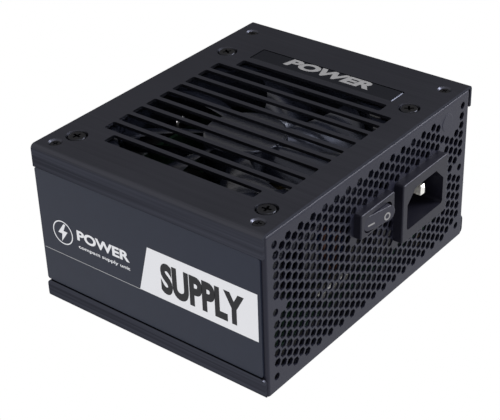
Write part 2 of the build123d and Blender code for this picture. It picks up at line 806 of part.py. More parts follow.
def board_standoffs():
    """Hexagonal posts, pressed into the tray."""
    posts = []
    for x, y in standoff_places():
        post = extrude(Pos(x, y, tray_thickness) * RegularPolygon(2.75, 6), board_bottom - tray_thickness)
        post += rod(1.58, (x, y, 0.05), (x, y, tray_thickness + 0.2))
        post -= rod(1.3, (x, y, 2.2), (x, y, 20))
        posts.append(post)
    return posts


def board_screws():
    screw = pan_screw(1.25, 2.8, 1.8, 4.5)
    return [Pos(x, y, board_top) * screw for x, y in standoff_places()]


def insulating_sheet():
    sheet = block((-51, 51), (-41, 36), (tray_thickness, tray_thickness + 0.4))
    for x, y in standoff_places():
        sheet -= rod(3.3, (x, y, 0), (x, y, 20))
    return sheet


def socket_board():
    return block((-board_half_width, board_half_width), (board_back, socket_board_back), (3.0, 44.0))


# ---- parts on the main board ----------------------------------------------------------------
def bulk_capacitor():
    """The tall storage capacitor: a sleeved can with a crimp groove near its base and a vent cross on top."""
    can = rod(14.7, (0, 0, board_top), (0, 0, board_top + 36.0))
    can = fillet(can.edges().group_by(Axis.Z)[-1], 1.2)
    can -= Pos(0, 0, board_top + 4.0) * Torus(15.3, 1.2)
    vent = block(about(0, 0.5), about(0, 16), (board_top + 35.7, board_top + 37))
    can -= vent
    can -= Rot(0, 0, 90) * vent
    return Pos(-38, -20, 0) * can


def toroid(outer, inner, height):
    """A rounded ring core with its axis along Z, centred on the origin."""
    core = ring(outer, inner, (0, 0, -height / 2), (0, 0, height / 2))
    return fillet(core.edges(), 0.8)


def choke_places():
    """Where each ring choke stands, with its outer radius, inner radius and height."""
    lying = Rot(0, 0, 0)
    standing = Rot(90, 0, 0)
    return [
        (Pos(-38, 11.8, board_top + 8.6) * lying, 12.4, 7.2, 12.0),
        (Pos(33, -19.5, board_top + 12.6) * standing, 10.4, 6.2, 8.6),
        (Pos(45.5, 11, board_top + 6.2) * lying, 9.6, 5.6, 9.0),
    ]


def choke_cores():
    return [place * toroid(outer, inner, height) for place, outer, inner, height in choke_places()]


def choke_windings():
    """Each winding is a closed jacket about its core, with a gap between its two halves."""
    windings = []
    for place, outer, inner, height in choke_places():
        jacket = toroid(outer + 1.6, inner - 1.6, height + 3.2)
        jacket -= ring(outer + 0.05, inner - 0.05, (0, 0, -height / 2 - 0.05), (0, 0, height / 2 + 0.05))
        jacket -= block(about(0, 40), about(0, 3.0), about(0, 40))
        windings.append(place * jacket)
    return windings


def x_capacitors():
    """Box film capacitors across the mains lines."""
    boxes = [block((46.5, 55.5), (-33, -7), (board_top, board_top + 18)),
             block((14, 40), (-41, -33), (board_top, board_top + 14))]
    return [fillet(box.edges(), 0.6) for box in boxes]


def y_capacitors():
    """Ceramic discs on two legs."""
    discs = []
    for x in (21.0, 30.5):
        z = board_top + 6.5
        disc = rod(4.0, (x, -9.2, z), (x, -12.4, z))
        disc = fillet(disc.edges().filter_by(GeomType.CIRCLE), 1.2)
        for side in (-2.5, 2.5):
            disc += rod(0.35, (x + side, -10.8, board_top), (x + side, -10.8, z))
        discs.append(disc)
    return discs


def fuse():
    z = board_top + 3.2
    tube = rod(2.4, (-19, -38.5, z), (-3, -38.5, z))
    for start in (-20.0, -7.0):
        tube += rod(2.8, (start, -38.5, z), (start + 5, -38.5, z))
        tube += rod(0.4, (start + 2.5, -38.5, board_top), (start + 2.5, -38.5, z))
    return tube


def relay():
    case = block((1, 16), (-26.5, -9.5), (board_top, board_top + 15.2))
    return fillet(case.edges(), 0.5)


def inrush_thermistor():
    z = board_top + 8.2
    disc = rod(6.0, (6, -36.0, z), (6, -39.6, z))
    disc = fillet(disc.edges().filter_by(GeomType.CIRCLE), 1.2)
    for side in (-3, 3):
        disc += rod(0.45, (6 + side, -37.8, board_top), (6 + side, -37.8, z))
    return disc


def bridge_rectifier():
    package = block((-15.6, -11.0), (-34, -12), (board_top + 5, board_top + 23))
    package = chamfer(package.edges().filter_by(Axis.X).group_by(Axis.Z)[-1].sort_by(Axis.Y)[0:1], 2.5)
    for step in range(4):
        y = -31.5 + 5.6 * step
        package += block((-13.8, -12.8), about(y, 1.0), (board_top, board_top + 6))
    return package


def finned_plate(x_low, y, height, fin_side):
    """An extruded heatsink: a plate across X with short upright fins on one side."""
    x_high = x_low + 3.0
    sink = block((x_low, x_high), y, (board_top, board_top + height))
    fin_x = (x_high - 0.1, x_high + 3.6) if fin_side > 0 else (x_low - 3.6, x_low + 0.1)
    fins = int((y[1] - y[0]) // 3.6)
    for step in range(fins):
        start = y[0] + step * 3.6
        sink += block(fin_x, (start, start + 1.1), (board_top + 24, board_top + height))
    return sink


def primary_heatsink():
    return finned_plate(-18.7, (-34.0, 19.6), 34.5, 1)


def secondary_heatsink():
    return finned_plate(28.0, (-6.0, 23.0), 33.0, -1)


def power_transistors():
    """Three flat packages that are clamped to the primary heatsink."""
    packages = []
    for y in (-1.0, 16.0 - 0.6):
        body = block((-23.4, -18.7), about(y - 6, 15.6), (board_top + 6, board_top + 26))
        for leg in (-5.4, 0, 5.4):
            body += block((-21.8, -21.0), about(y - 6 + leg, 1.2), (board_top, board_top + 7))
        packages.append(body)
    return packages


def transformer_core():
    """A ferrite frame with a middle leg, seen from the side as a figure of eight."""
    core = block((-8, 24), (-1.5, 14.5), (board_top + 1.5, board_top + 31.5))
    for x in ((-3, 3.6), (12.4, 19)):
        core -= block(x, (-5, 20), (board_top + 6.5, board_top + 26.5))
    return core


def transformer_winding():
    """The taped winding about the middle leg."""
    coil = block((-2.8, 18.8), (-6.6, 19.4), (board_top + 6.7, board_top + 26.3))
    coil = fillet(coil.edges().filter_by(Axis.Z), 4.0)
    coil -= block((3.5, 12.5), (-1.6, 14.6), (0, 60))
    return coil


def output_capacitors():
    """A row of small cans beside the socket board."""
    cans = []
    for step in range(8):
        x = -36.5 + 9.4 * step
        can = rod(4.0, (x, 31.2, board_top), (x, 31.2, board_top + 16))
        cans.append(fillet(can.edges().group_by(Axis.Z)[-1], 0.6))
    return cans


def control_board():
    return block((-24, 25), (22.6, 24.2), (board_top, board_top + 27))


def control_chips():
    """Small packages on the control board's face."""
    places = [(-16, 20, 6.5, 5.0), (-5, 22, 8.0, 5.0), (6, 18, 10.0, 6.0),
              (17, 21, 5.0, 4.0), (-10, 30, 5.0, 4.0)]
    return [block(about(x, width), (24.2, 25.6), about(z, height)) for x, z, width, height in places]


# ---- the output sockets ---------------------------------------------------------------------
def socket_size(columns):
    return columns * contact_pitch + 2 * socket_wall, 2 * contact_pitch + 2 * socket_wall


def latch_width():
    return 4.4


def latch_height():
    return 1.3


def socket_cells(columns):
    """Centres of a socket's cells about its middle."""
    return [((column - (columns - 1) / 2) * contact_pitch, (row - 0.5) * contact_pitch)
            for column in range(columns) for row in (0, 1)]


def output_socket(x, z, columns):
    """A two-row socket: square cells, every second one with cut corners, and a latch on top."""
    width, height = socket_size(columns)
    body = block(about(x, width), (socket_board_back, socket_face), about(z, height))
    catch = block(about(x, latch_width()), (socket_face - 4.4, socket_face - 1.6),
                  (z + height / 2 - 0.1, z + height / 2 + latch_height()))
    body += chamfer(catch.edges().filter_by(Axis.X).group_by(Axis.Z)[-1].sort_by(Axis.Y)[-1:], 1.1)
    square = Rectangle(socket_cell, socket_cell)
    keyed = chamfer(square.vertices().group_by(Axis.Y)[0], 0.9)
    plane = front_plane(socket_face - socket_cell_depth)
    cutters = []
    for number, (cell_x, cell_z) in enumerate(socket_cells(columns)):
        outline = keyed if (number // 2 + number) % 2 else square
        cutters.append(extrude(plane * Pos(x + cell_x, z + cell_z) * outline, -socket_cell_depth - 1))
    return body - cutters


def wide_socket():
    return output_socket(wide_socket_x, socket_upper_z, wide_socket_columns)


def eight_pin_sockets():
    return [output_socket(x, z, 4) for x, z in eight_pin_places]


def six_pin_sockets():
    return [output_socket(x, z, 3) for x, z in six_pin_places]


def socket_pins():
    """The square pins in every cell, standing on the cell floors."""
    places = [(wide_socket_x, socket_upper_z, wide_socket_columns)]
    places += [(x, z, 4) for x, z in eight_pin_places]
    places += [(x, z, 3) for x, z in six_pin_places]
    floor = socket_face - socket_cell_depth
    return [block(about(x + cell_x, 1.1), (floor, floor + 7.0), about(z + cell_z, 1.1))
            for x, z, columns in places for cell_x, cell_z in socket_cells(columns)]


def main():
    os.makedirs("parts", exist_ok=True)
    save("top_cover", top_cover())
    save("nameplate", nameplate())
    save("lid_screws", *lid_screws())
    save("ac_panel", ac_panel())
    save("right_side_wall", right_side_wall())
    save("left_side_wall", mirror_x(right_side_wall()))
    save("socket_panel", socket_panel())
    save("bottom_tray", bottom_tray())
    save("right_label_plate", right_label_plate())
    save("left_label_plate", mirror_x(right_label_plate()))
    save("tray_screws", *tray_screws())
    save("chassis_rivets", *chassis_rivets())

    save("fan_frame", fan_frame())
    save("fan_screws", *fan_screws())
    save("fan_rotor", fan_rotor())
    save("fan_shaft", fan_shaft())
    save("fan_magnet", fan_magnet())
    save("fan_bearing", fan_bearing())
    save("stator_core", stator_core())
    save("stator_coils", *stator_coils())
    save("fan_board", fan_board())
    save("fan_lead", *fan_lead())

    earth_pin, *power_pins = inlet_pins()
    save("inlet_housing", inlet_housing())
    save("inlet_earth_pin", earth_pin)
    save("inlet_power_pins", *power_pins)
    earth_wire, *power_wires = inlet_wires()
    save("earth_wire", earth_wire)
    save("power_wires", *power_wires)

    save("switch_housing", switch_housing())
    save("switch_rocker", switch_rocker())
    save("switch_plunger", switch_plunger())
    save("switch_spring", switch_spring())
    save("switch_contact", switch_contact())
    save("switch_terminals", *switch_terminals())
    save("switch_wires", *switch_wires())

    save("main_board", main_board())
    save("insulating_sheet", insulating_sheet())
    save("board_standoffs", *board_standoffs())
    save("board_screws", *board_screws())
    save("bulk_capacitor", bulk_capacitor())
    save("choke_cores", *choke_cores())
    save("choke_windings", *choke_windings())
    save("x_capacitors", *x_capacitors())
    save("y_capacitors", *y_capacitors())
    save("fuse", fuse())
    save("relay", relay())
    save("inrush_thermistor", inrush_thermistor())
    save("bridge_rectifier", bridge_rectifier())
    save("primary_heatsink", primary_heatsink())
    save("power_transistors", *power_transistors())
    save("transformer_core", transformer_core())
    save("transformer_winding", transformer_winding())
    save("secondary_heatsink", secondary_heatsink())
    save("output_capacitors", *output_capacitors())
    save("control_board", control_board())
    save("control_chips", *control_chips())

    save("socket_board", socket_board())
    save("wide_socket", wide_socket())
    save("eight_pin_sockets", *eight_pin_sockets())
    save("six_pin_sockets", *six_pin_sockets())
    save("socket_pins", *socket_pins())


main()
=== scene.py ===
import json
import math

import bpy
from mathutils import Matrix, Vector


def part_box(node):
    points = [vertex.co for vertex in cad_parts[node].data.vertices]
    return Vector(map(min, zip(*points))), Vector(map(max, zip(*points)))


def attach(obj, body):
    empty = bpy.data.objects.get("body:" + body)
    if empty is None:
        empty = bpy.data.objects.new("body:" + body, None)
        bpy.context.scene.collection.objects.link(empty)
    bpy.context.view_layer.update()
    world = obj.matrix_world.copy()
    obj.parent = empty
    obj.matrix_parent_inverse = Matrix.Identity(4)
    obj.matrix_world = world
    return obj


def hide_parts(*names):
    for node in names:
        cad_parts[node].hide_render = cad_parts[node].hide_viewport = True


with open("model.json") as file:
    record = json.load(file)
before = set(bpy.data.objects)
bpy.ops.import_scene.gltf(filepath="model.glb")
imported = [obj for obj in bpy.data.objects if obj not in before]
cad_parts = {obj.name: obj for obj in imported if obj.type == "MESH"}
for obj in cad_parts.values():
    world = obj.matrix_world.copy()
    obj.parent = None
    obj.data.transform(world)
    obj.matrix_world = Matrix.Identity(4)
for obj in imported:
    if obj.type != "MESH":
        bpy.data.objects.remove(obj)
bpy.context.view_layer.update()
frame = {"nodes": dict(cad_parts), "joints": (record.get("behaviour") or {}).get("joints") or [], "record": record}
MM = 0.001

# ---- places that the prints need, in millimetres --------------------------------------------
case_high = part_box("top_cover")[1] / MM
print_thickness = 0.04

# On each side: u runs from the label's left end to its right end, and z is the height.
block_top = 40.8
block_bottom = 22.2
block_left_top = 51.1
block_left_bottom = 46.4
block_right = 97.3
block_word_box = (56.4, 24.9, 35.4, 12.4)
emblem_centre = (10.9, 31.5)
emblem_radius = 4.8
emblem_line = 0.42
side_word_box = (17.9, 31.1, 24.6, 4.2)
side_small_word_box = (18.2, 27.5, 24.2, 1.75)
rule_height = 22.1
rule_thickness = 0.19
rule_ends = (0.8, 46.6)

nameplate_word_length = 39.8
nameplate_word_height = 5.9
nameplate_word_start_y = 17.0
nameplate_word_x = 37.1
nameplate_word_lean = math.radians(14)

rocker_tilt = math.radians(11)
rocker_proud = 0.9
mark_offset = 3.85
mark_rise = -0.7
mark_line = 0.6
mark_dash_length = 3.2
mark_ring_outer = 1.5

# ---- the camera -----------------------------------------------------------------------------
camera_azimuth = math.radians(-50.869)
camera_elevation = math.radians(31.778)
camera_roll = math.radians(-1.942)
camera_distance = 489.6
camera_lens = 96.676
camera_aim_right = -3.657
camera_aim_up = -7.024

# ---- the studio -----------------------------------------------------------------------------
# The sky dims towards dim_direction: from the first to the second cosine of the angle to it.
floor_half = 6.0
floor_glow = 1.0
sky_glow = 1.02
sky_glow_dim = 0.36
sky_tint = (1.0, 0.96, 0.88)
dim_direction = (0.775, 0.625, 0.09)
dim_cosines = (0.82, 0.95)
softboxes = {  # azimuth and elevation in degrees, distance and (width, height) in metres, watts
    "front_right": (50, 32, 1.2, (0.4, 0.3), 18.0),
    "overhead": (10, 75, 1.3, (0.5, 0.5), 3.0),
}

# ---- windings: lengths in millimetres, the gap at each end of a winding in radians ----------
wire_radius = 0.72
wire_clearance = 0.1
wire_points_per_turn = 20
winding_squareness = 0.55
winding_gap = 0.28
winding_fill = 0.84

# ---- tints of the glossy reflections --------------------------------------------------------
cool_sheen = (0.82, 0.84, 1.0)
violet_sheen = (0.76, 0.78, 1.0)
blue_sheen = (0.68, 0.74, 1.0)


# ---- materials ------------------------------------------------------------------------------
class Surface:
    """A material whose texture nodes are added one by one, all in object coordinates."""

    def __init__(self, name, color, roughness, metallic=0.0, specular=0.5, sheen=(1, 1, 1)):
        self.material = bpy.data.materials.new(name)
        self.material.use_nodes = True
        self.tree = self.material.node_tree
        self.shader = next(n for n in self.tree.nodes if n.type == "BSDF_PRINCIPLED")
        self.shader.inputs["Base Color"].default_value = (*color, 1)
        self.shader.inputs["Roughness"].default_value = roughness
        self.shader.inputs["Metallic"].default_value = metallic
        self.shader.inputs["Specular IOR Level"].default_value = specular
        self.shader.inputs["Specular Tint"].default_value = (*sheen, 1)
        self.coordinates = self.node("ShaderNodeTexCoord")

    def node(self, kind, **settings):
        made = self.tree.nodes.new(kind)
        for name, value in settings.items():
            setattr(made, name, value)
        return made

    def link(self, source, target):
        self.tree.links.new(source, target)

    def mapped(self, scale):
        """Object coordinates, stretched by a scale for each axis."""
        mapping = self.node("ShaderNodeMapping")
        mapping.inputs["Scale"].default_value = scale
        self.link(self.coordinates.outputs["Object"], mapping.inputs["Vector"])
        return mapping.outputs["Vector"]

    def noise(self, scale, detail=3.0, roughness=0.5, distortion=0.0):
        texture = self.node("ShaderNodeTexNoise")
        self.link(self.mapped(scale), texture.inputs["Vector"])
        texture.inputs["Scale"].default_value = 1.0
        texture.inputs["Detail"].default_value = detail
        texture.inputs["Roughness"].default_value = roughness
        texture.inputs["Distortion"].default_value = distortion
        return texture.outputs["Fac"]

    def cells(self, scale, feature="F1", metric="EUCLIDEAN"):
        texture = self.node("ShaderNodeTexVoronoi", feature=feature, distance=metric)
        self.link(self.mapped(scale), texture.inputs["Vector"])
        texture.inputs["Scale"].default_value = 1.0
        return texture.outputs["Distance"]

    def math(self, operation, first, second):
        made = self.node("ShaderNodeMath", operation=operation)
        for socket, value in zip(made.inputs, (first, second)):
            if isinstance(value, (int, float)):
                socket.default_value = value
            else:
                self.link(value, socket)
        return made.outputs["Value"]

    def ramp(self, factor, stops):
        """Colours along a factor; each stop is (position, (r, g, b))."""
        made = self.node("ShaderNodeValToRGB")
        elements = made.color_ramp.elements
        while len(elements) < len(stops):
            elements.new(0.5)
        for element, (position, color) in zip(elements, stops):
            element.position = position
            element.color = (*color, 1)
        self.link(factor, made.inputs["Fac"])
        return made.outputs["Color"]

    def range(self, factor, low, high):
        """The factor, rescaled from 0..1 to low..high."""
        made = self.node("ShaderNodeMapRange")
        made.inputs["To Min"].default_value = low
        made.inputs["To Max"].default_value = high
        self.link(factor, made.inputs["Value"])
        return made.outputs["Result"]

    def color(self, output):
        self.link(output, self.shader.inputs["Base Color"])

    def roughness(self, output):
        self.link(output, self.shader.inputs["Roughness"])

    def bump(self, height, distance, strength=1.0):
        made = self.node("ShaderNodeBump")
        made.inputs["Distance"].default_value = distance
        made.inputs["Strength"].default_value = strength
        self.link(height, made.inputs["Height"])
        self.link(made.outputs["Normal"], self.shader.inputs["Normal"])


def tint(color, factor):
    return tuple(channel * factor for channel in color)


def brushed_metal(name, color, roughness, contrast, along=(2600, 22, 2600), edge=1.0, bands=0.0):
    """Metal with fine scratches along one axis; bands add wide level streaks to upright faces."""
    surface = Surface(name, color, roughness, metallic=1.0, sheen=(edge, edge, edge))
    fine = surface.noise(along, detail=4, roughness=0.7)
    broad = surface.noise(tuple(0.17 * scale for scale in along), detail=3, roughness=0.6)
    both = surface.math("ADD", surface.math("MULTIPLY", fine, 0.6), surface.math("MULTIPLY", broad, 0.4))
    if bands:
        streaks = surface.noise((8, 5, 800), detail=3, roughness=0.6)
        both = surface.math("ADD", both, surface.range(streaks, -bands, bands))
    surface.color(surface.ramp(both, [(0.3, tint(color, 1 - contrast)), (0.7, tint(color, 1 + contrast))]))
    surface.roughness(surface.range(both, roughness + 0.09, roughness - 0.09))
    surface.bump(fine, 0.00002)
    return surface.material


def powder_coat(name, color, roughness, grain=2600, bump=0.00006):
    """Sprayed paint with a fine orange-peel grain."""
    surface = Surface(name, color, roughness, specular=0.3, sheen=cool_sheen)
    peel = surface.noise((grain, grain, grain), detail=2, roughness=0.55)
    cloud = surface.noise((40, 40, 40), detail=2)
    surface.color(surface.ramp(cloud, [(0.3, tint(color, 0.92)), (0.7, tint(color, 1.08))]))
    surface.roughness(surface.range(peel, roughness - 0.06, roughness + 0.08))
    surface.bump(peel, bump)
    return surface.material


def moulded(name, color, roughness, grain=1500, bump=0.00004, specular=0.35, sheen=cool_sheen):
    """Moulded plastic with a spark-eroded grain."""
    surface = Surface(name, color, roughness, specular=specular, sheen=sheen)
    pits = surface.noise((grain, grain, grain), detail=3, roughness=0.6)
    flow = surface.noise((90, 60, 90), detail=2)
    surface.color(surface.ramp(flow, [(0.25, tint(color, 0.88)), (0.75, tint(color, 1.12))]))
    surface.roughness(surface.range(pits, roughness - 0.07, roughness + 0.07))
    surface.bump(pits, bump)
    return surface.material


def plain_metal(name, color, roughness, marks=900, edge=1.0):
    """Plated or turned metal with faint handling marks."""
    surface = Surface(name, color, roughness, metallic=1.0, sheen=(edge, edge, edge))
    smear = surface.noise((marks, marks * 0.4, marks), detail=4, roughness=0.65)
    surface.color(surface.ramp(smear, [(0.3, tint(color, 0.85)), (0.7, tint(color, 1.05))]))
    surface.roughness(surface.range(smear, roughness - 0.06, roughness + 0.1))
    surface.bump(smear, 0.00001)
    return surface.material


def ink(name, color, roughness=0.45, specular=0.5):
    """Screen-printed ink: even, with a very fine tooth."""
    surface = Surface(name, color, roughness, specular=specular)
    tooth = surface.noise((5000, 5000, 5000), detail=1)
    surface.color(surface.ramp(tooth, [(0.2, tint(color, 0.96)), (0.8, color)]))
    surface.bump(tooth, 0.000008)
    return surface.material


def film(name, color, roughness):
    """Satin film over a thin plate, with a hardly visible mottle."""
    surface = Surface(name, color, roughness, specular=0.25, sheen=cool_sheen)
    mottle = surface.noise((220, 220, 220), detail=4, roughness=0.6)
    tooth = surface.noise((4200, 4200, 4200), detail=2)
    surface.color(surface.ramp(mottle, [(0.3, tint(color, 0.95)), (0.7, tint(color, 1.05))]))
    surface.roughness(surface.range(tooth, roughness - 0.05, roughness + 0.05))
    surface.bump(tooth, 0.000015)
    return surface.material


def circuit_board(name, mask, track):
    """Solder mask over tracks: the tracks are the borders of square-metric cells."""
    surface = Surface(name, mask, 0.32)
    lines = surface.cells((330, 330, 330), feature="DISTANCE_TO_EDGE", metric="MANHATTAN")
    surface.color(surface.ramp(lines, [(0.05, track), (0.09, mask)]))
    surface.bump(surface.ramp(lines, [(0.05, (1, 1, 1)), (0.09, (0, 0, 0))]), 0.00004)
    return surface.material


def speckled(name, color, roughness, scale=900, contrast=0.3):
    """Pressed powder, ceramic and tape: a plain colour with speckles."""
    surface = Surface(name, color, roughness)
    dots = surface.noise((scale, scale, scale), detail=5, roughness=0.7)
    dark, light = tint(color, 1 - contrast), tint(color, 1 + contrast)
    surface.color(surface.ramp(dots, [(0.35, dark), (0.65, light)]))
    surface.roughness(surface.range(dots, roughness - 0.05, roughness + 0.1))
    surface.bump(dots, 0.00003)
    return surface.material


def make_materials():
    """One material for each slot of the record."""
    return {
        "brushed_black_aluminium": brushed_metal("brushed_black_aluminium", (0.038, 0.040, 0.053), 0.42,
                                                 contrast=0.2, edge=0.5, bands=0.9),
        "nameplate_black": brushed_metal("nameplate_black", (0.028, 0.030, 0.039), 0.38,
                                         contrast=0.12, edge=0.45),
        "black_screws": plain_metal("black_screws", (0.018, 0.019, 0.024), 0.33, edge=0.7),
        "zinc_steel": plain_metal("zinc_steel", (0.25, 0.26, 0.28), 0.3),
        "brass_posts": plain_metal("brass_posts", (0.72, 0.55, 0.27), 0.32),
        "black_painted_steel": powder_coat("black_painted_steel", (0.0068, 0.0072, 0.0155), 0.45),
        "label_film": film("label_film", (0.011, 0.015, 0.029), 0.42),
        "fan_plastic": moulded("fan_plastic", (0.006, 0.007, 0.012), 0.22, grain=700,
                               sheen=blue_sheen),
        "ferrite": speckled("ferrite", (0.045, 0.045, 0.048), 0.6),
        "bronze": plain_metal("bronze", (0.50, 0.34, 0.18), 0.4),
        "copper_wire": plain_metal("copper_wire", (0.30, 0.13, 0.06), 0.28),
        "circuit_board": circuit_board("circuit_board", (0.006, 0.016, 0.010), (0.010, 0.028, 0.017)),
        "black_insulation": moulded("black_insulation", (0.018, 0.018, 0.020), 0.45),
        "green_insulation": moulded("green_insulation", (0.05, 0.26, 0.05), 0.45),
        "brown_insulation": moulded("brown_insulation", (0.12, 0.045, 0.02), 0.45),
        "moulded_plastic": moulded("moulded_plastic", (0.004, 0.004, 0.008), 0.46, specular=0.30,
                                   sheen=violet_sheen),
        "nickel_pins": plain_metal("nickel_pins", (0.90, 0.89, 0.86), 0.42),
        "rocker_plastic": moulded("rocker_plastic", (0.010, 0.010, 0.018), 0.36, grain=900,
                                  bump=0.00002),
        "insulating_film": film("insulating_film", (0.04, 0.04, 0.042), 0.5),
        "capacitor_sleeve": film("capacitor_sleeve", (0.020, 0.021, 0.026), 0.28),
        # painted shade: the film capacitor's colour is darkened to stand in for the shade inside the case
        "film_capacitor": speckled("film_capacitor", (0.035, 0.034, 0.036), 0.4, contrast=0.08),
        "blue_ceramic": speckled("blue_ceramic", (0.04, 0.16, 0.38), 0.3, contrast=0.1),
        # painted shade: the fuse's ceramic body is given a dark colour that stands in for the shade inside the
        # case
        "fuse_ceramic": speckled("fuse_ceramic", (0.06, 0.058, 0.054), 0.35, contrast=0.06),
        "relay_case": moulded("relay_case", (0.02, 0.05, 0.16), 0.4),
        "black_epoxy": speckled("black_epoxy", (0.022, 0.022, 0.023), 0.48, contrast=0.15),
        # painted shade: the heatsink aluminium is given a dark colour that stands in for the shade inside the case
        "raw_aluminium": brushed_metal("raw_aluminium", (0.080, 0.080, 0.085), 0.36,
                                       contrast=0.08, along=(1600, 1600, 30)),
        # painted shade: the tape's yellow-brown is darkened to stand in for the shade inside the case
        "winding_tape": speckled("winding_tape", (0.060, 0.045, 0.016), 0.3, contrast=0.08),
        "socket_plastic": moulded("socket_plastic", (0.017, 0.017, 0.019), 0.42),
    }


def dress_cad_nodes(materials):
    """Gives every CAD node the material of its slot."""
    slots = {part["node"]: part["material_slot"] for part in frame["record"]["subparts"]}
    for name, piece in frame["nodes"].items():
        material = materials[slots[name]]
        if not piece.material_slots:
            piece.data.materials.append(material)
        for material_slot in piece.material_slots:
            material_slot.material = material


# ---- making pieces --------------------------------------------------------------------------
def axes_matrix(origin, right, up):
    """A place whose local X is right, local Y is up and local Z is the outward normal; origin in mm."""
    right, up = Vector(right), Vector(up)
    normal = right.cross(up)
    turn = Matrix((right, up, normal)).transposed().to_4x4()
    return Matrix.Translation(Vector(origin) * MM) @ turn


def outline_curve(name, outlines):
    """A flat filled curve from closed outlines in mm; an outline inside another is a hole."""
    curve = bpy.data.curves.new(name, "CURVE")
    curve.dimensions = "2D"
    curve.fill_mode = "BOTH"
    for outline in outlines:
        spline = curve.splines.new("POLY")
        spline.points.add(len(outline) - 1)
        for point, (x, y) in zip(spline.points, outline):
            point.co = (x * MM, y * MM, 0, 1)
        spline.use_cyclic_u = True
    return curve


def text_curve(name, text, boldness):
    curve = bpy.data.curves.new(name, "FONT")
    curve.body = text
    curve.fill_mode = "BOTH"
    curve.offset = boldness
    curve.resolution_u = 6
    return curve


def mesh_of(curve):
    """The mesh that a curve makes."""
    holder = bpy.data.objects.new(curve.name, curve)
    bpy.context.scene.collection.objects.link(holder)
    bpy.context.view_layer.update()
    shape = holder.evaluated_get(bpy.context.evaluated_depsgraph_get())
    mesh = bpy.data.meshes.new_from_object(shape)
    bpy.data.objects.remove(holder)
    return mesh


def solid_from(curve, thickness):
    """The curve as a mesh of a given thickness whose back is at local z = 0."""
    curve.extrude = thickness * MM / 2
    mesh = mesh_of(curve)
    mesh.transform(Matrix.Translation((0, 0, thickness * MM / 2)))
    return mesh


def fitted(mesh, box, lean=0.0):
    """The mesh, scaled to a box (left, bottom, width, height) in mm, and leant to the right."""
    xs = [vertex.co.x for vertex in mesh.vertices]
    ys = [vertex.co.y for vertex in mesh.vertices]
    left, bottom, width, height = (value * MM for value in box)
    run = height * math.tan(lean)
    x_scale = (width - run) / (max(xs) - min(xs))
    y_scale = height / (max(ys) - min(ys))
    for vertex in mesh.vertices:
        rise = (vertex.co.y - min(ys)) * y_scale
        vertex.co.x = left + (vertex.co.x - min(xs)) * x_scale + rise * math.tan(lean)
        vertex.co.y = bottom + rise
    return mesh


def piece_from(name, mesh, place, body, material):
    """A mesh, put in its place, riding on a body and wearing a material."""
    mesh.transform(place)
    mesh.name = name
    mesh.materials.clear()
    mesh.materials.append(material)
    piece = bpy.data.objects.new(name, mesh)
    bpy.context.scene.collection.objects.link(piece)
    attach(piece, body)
    return piece


def circle(centre, radius, count=64):
    turns = [2 * math.pi * step / count for step in range(count)]
    return [(centre[0] + radius * math.cos(turn), centre[1] + radius * math.sin(turn)) for turn in turns]


def rectangle(left, bottom, right, top):
    return [(left, bottom), (right, bottom), (right, top), (left, top)]


# ---- the prints -----------------------------------------------------------------------------
def bolt_outline(centre, size):
    """A plain lightning bolt."""
    shape = [(0.18, 1.0), (-0.62, -0.12), (-0.10, -0.12), (-0.24, -1.0),
             (0.62, 0.22), (0.10, 0.22), (0.42, 1.0)]
    return [(centre[0] + x * size, centre[1] + y * size) for x, y in shape]


def side_print(side, place, inks):
    """The generic print of one label plate."""
    def add(name, mesh, color):
        piece_from(f"{side}_{name}", mesh, place, "case", inks[color])

    panel = [(block_left_bottom, block_bottom), (block_right, block_bottom),
             (block_right, block_top), (block_left_top, block_top)]
    add("print_block", solid_from(outline_curve("print_block", [panel]), print_thickness), "white")
    word = solid_from(text_curve("block_word", "SUPPLY", 0.05), print_thickness * 1.6)
    add("print_block_word", fitted(word, block_word_box), "dark")

    rings = [circle(emblem_centre, emblem_radius), circle(emblem_centre, emblem_radius - emblem_line)]
    bolt = bolt_outline(emblem_centre, emblem_radius * 0.78)
    add("print_emblem", solid_from(outline_curve("emblem", rings + [bolt]), print_thickness), "white")
    word = solid_from(text_curve("side_word", "POWER", 0.035), print_thickness)
    add("print_word", fitted(word, side_word_box), "white")
    word = solid_from(text_curve("side_small_word", "compact supply unit", 0.015), print_thickness)
    add("print_small_word", fitted(word, side_small_word_box), "white")
    low, high = rule_height - rule_thickness / 2, rule_height + rule_thickness / 2
    rule = rectangle(rule_ends[0], low, rule_ends[1], high)
    add("print_rule", solid_from(outline_curve("rule", [rule]), print_thickness), "pale")


def label_prints(inks):
    left_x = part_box("left_label_plate")[0].x / MM
    right_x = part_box("right_label_plate")[1].x / MM
    side_print("left", axes_matrix((left_x, case_high.y, 0), (0, -1, 0), (0, 0, 1)), inks)
    side_print("right", axes_matrix((right_x, -case_high.y, 0), (0, 1, 0), (0, 0, 1)), inks)


def nameplate_print(inks):
    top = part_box("nameplate")[1].z / MM
    place = axes_matrix((nameplate_word_x, nameplate_word_start_y, top), (0, -1, 0), (1, 0, 0))
    word = solid_from(text_curve("nameplate_word", "POWER", 0.05), print_thickness)
    word = fitted(word, (0, 0, nameplate_word_length, nameplate_word_height), nameplate_word_lean)
    piece_from("nameplate_print", word, place, "case", inks["silver"])


